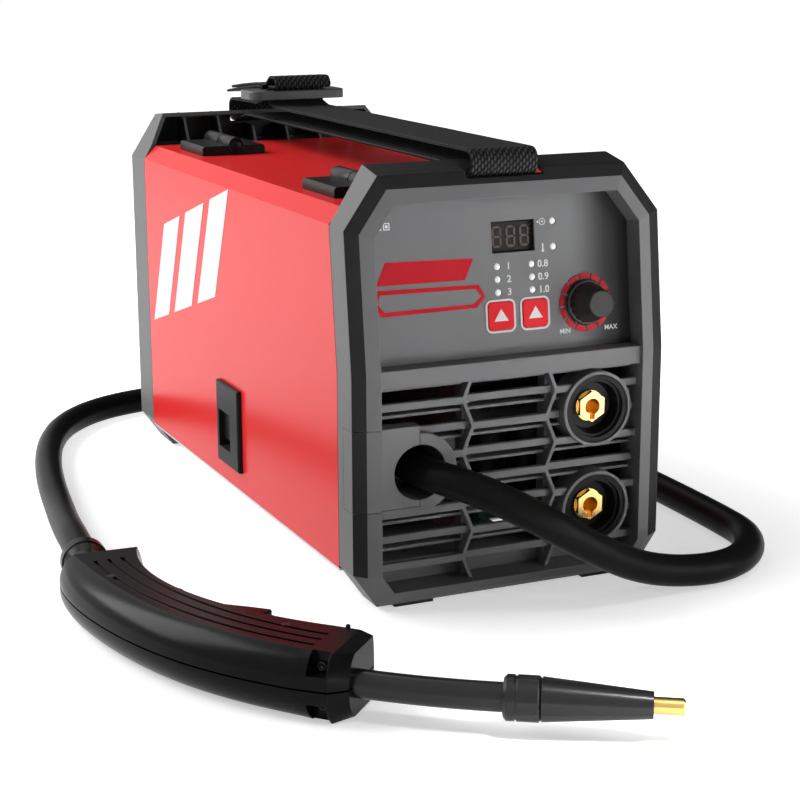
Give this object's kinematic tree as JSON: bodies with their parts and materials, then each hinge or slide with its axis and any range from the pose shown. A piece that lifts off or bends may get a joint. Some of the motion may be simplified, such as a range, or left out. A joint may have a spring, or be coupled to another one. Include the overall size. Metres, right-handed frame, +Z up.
{
  "type": "wire welding machine",
  "caption": "Compact wire welding machine in a folded metal case with moulded end frames, a carrying strap and a torch on a rubber lead.",
  "frame": {"origin": "centre of the case's footprint on the floor", "axes": "+X to the right seen from the front panel, +Y to the back, +Z up"},
  "size_m": [0.4128, 0.7043, 0.2634],
  "materials": {
    "frame_plastic": "satin",
    "case_paint": "gloss",
    "panel_face": "satin",
    "window": "gloss",
    "display": "gloss",
    "lamp": "gloss",
    "red_plastic": "gloss",
    "black_plastic": "satin",
    "board": "satin",
    "brass": "polished",
    "steel": "satin",
    "zinc_sheet": "satin",
    "hinge_paint": "satin",
    "aluminium": "satin",
    "ferrite": "matte",
    "spool_plastic": "satin",
    "filler_wire": "polished",
    "webbing": "woven",
    "buckle": "gloss",
    "lead_rubber": "satin",
    "handle_plastic": "satin",
    "torch_metal": "satin",
    "copper_tip": "polished",
    "foot_rubber": "matte"
  },
  "bodies": {
    "case": {"front_bezel": "frame_plastic", "cable_cover": "frame_plastic", "control_panel": "panel_face", "display_window": "window", "display_module": "display", "indicator_leds": "lamp", "potentiometer": "steel", "control_board": "board", "socket_upper": "black_plastic", "socket_lower": "black_plastic", "contact_upper": "brass", "contact_lower": "brass", "cable_gland": "black_plastic", "main_cover": "case_paint", "base_tray": "zinc_sheet", "divider_plate": "zinc_sheet", "rear_bezel": "frame_plastic", "fan_frame": "black_plastic", "switch_housing": "black_plastic", "power_gland": "black_plastic", "fixed_leaves": "hinge_paint", "hinge_pins": "steel", "foot_pads": "foot_rubber", "spool_spindle": "black_plastic", "spool_nut": "black_plastic", "feed_motor": "steel", "feed_body": "aluminium", "torch_adapter": "brass", "power_board": "board", "heatsinks": "aluminium", "transformer": "ferrite", "capacitors": "black_plastic", "strap_webbing": "webbing", "strap_slider": "buckle", "torch_cable": "lead_rubber", "torch_collar": "handle_plastic", "handle_upper": "handle_plastic", "handle_lower": "handle_plastic", "trigger_switch": "black_plastic", "torch_neck": "torch_metal", "nozzle_base": "torch_metal", "torch_nozzle": "torch_metal", "contact_tip": "copper_tip", "torch_screws": "steel"},
    "door": {"side_door": "case_paint", "door_leaves": "hinge_paint", "latch_plate": "frame_plastic"},
    "latch_flap": {"latch_paddle": "black_plastic"},
    "knob": {"control_knob": "black_plastic"},
    "mode_key": {"mode_button": "red_plastic"},
    "size_key": {"size_button": "red_plastic"},
    "rocker": {"power_rocker": "red_plastic"},
    "fan": {"fan_rotor": "black_plastic"},
    "spool": {"wire_spool": "spool_plastic", "welding_wire": "filler_wire"},
    "drive": {"drive_roll": "steel"},
    "arm": {"pressure_arm": "black_plastic"},
    "press_wheel": {"pressure_roll": "steel"},
    "tensioner": {"tension_screw": "black_plastic"},
    "trigger": {"torch_trigger": "handle_plastic"}
  },
  "joints": [
    {"name": "door_hinge", "type": "hinge", "parent": "case", "child": "door", "pos_m": [-0.054, 0, 0.221], "axis": [0, 1, 0], "range_deg": [0, 105]},
    {"name": "latch_lift", "type": "hinge", "parent": "door", "child": "latch_flap", "pos_m": [-0.0928, 0.002, 0.0638], "axis": [0, 1, 0], "range_deg": [0, 35], "stiffness_Nm_per_rad": 0.01},
    {"name": "knob_turn", "type": "hinge", "parent": "case", "child": "knob", "pos_m": [0.0507, -0.18763, 0.1565], "axis": [0, 0.9934, -0.1149], "range_deg": [-225, 45]},
    {"name": "mode_press", "type": "slide", "parent": "case", "child": "mode_key", "axis": [0, 0.9934, -0.1149], "range_m": [0, 0.0008], "stiffness_N_per_m": 400},
    {"name": "size_press", "type": "slide", "parent": "case", "child": "size_key", "axis": [0, 0.9934, -0.1149], "range_m": [0, 0.0008], "stiffness_N_per_m": 400},
    {"name": "rocker_tilt", "type": "hinge", "parent": "case", "child": "rocker", "pos_m": [-0.048, 0.19375, 0.15], "axis": [-1, 0, 0], "range_deg": [0, 17]},
    {"name": "fan_spin", "type": "hinge", "parent": "case", "child": "fan", "pos_m": [0.04, 0.17875, 0.104], "axis": [0, 1, 0], "continuous": true},
    {"name": "spool_spin", "type": "hinge", "parent": "case", "child": "spool", "pos_m": [-0.0555, 0.052, 0.092], "axis": [1, 0, 0], "continuous": true},
    {"name": "drive_spin", "type": "hinge", "parent": "case", "child": "drive", "pos_m": [-0.0555, -0.078, 0.0594], "axis": [1, 0, 0], "continuous": true},
    {"name": "arm_lift", "type": "hinge", "parent": "case", "child": "arm", "pos_m": [-0.0555, -0.108, 0.0866], "axis": [1, 0, 0], "range_deg": [0, 55]},
    {"name": "press_spin", "type": "hinge", "parent": "arm", "child": "press_wheel", "pos_m": [-0.0555, -0.078, 0.0866], "axis": [1, 0, 0], "continuous": true},
    {"name": "tension_turn", "type": "hinge", "parent": "arm", "child": "tensioner", "pos_m": [-0.0555, -0.051, 0.104], "axis": [0, 0, 1], "range_deg": [-360, 360]},
    {"name": "trigger_pull", "type": "hinge", "parent": "case", "child": "trigger", "pos_m": [-0.19558, -0.20858, 0.017], "axis": [0, 0, -1], "range_deg": [0, 4], "stiffness_Nm_per_rad": 1.5}
  ]
}
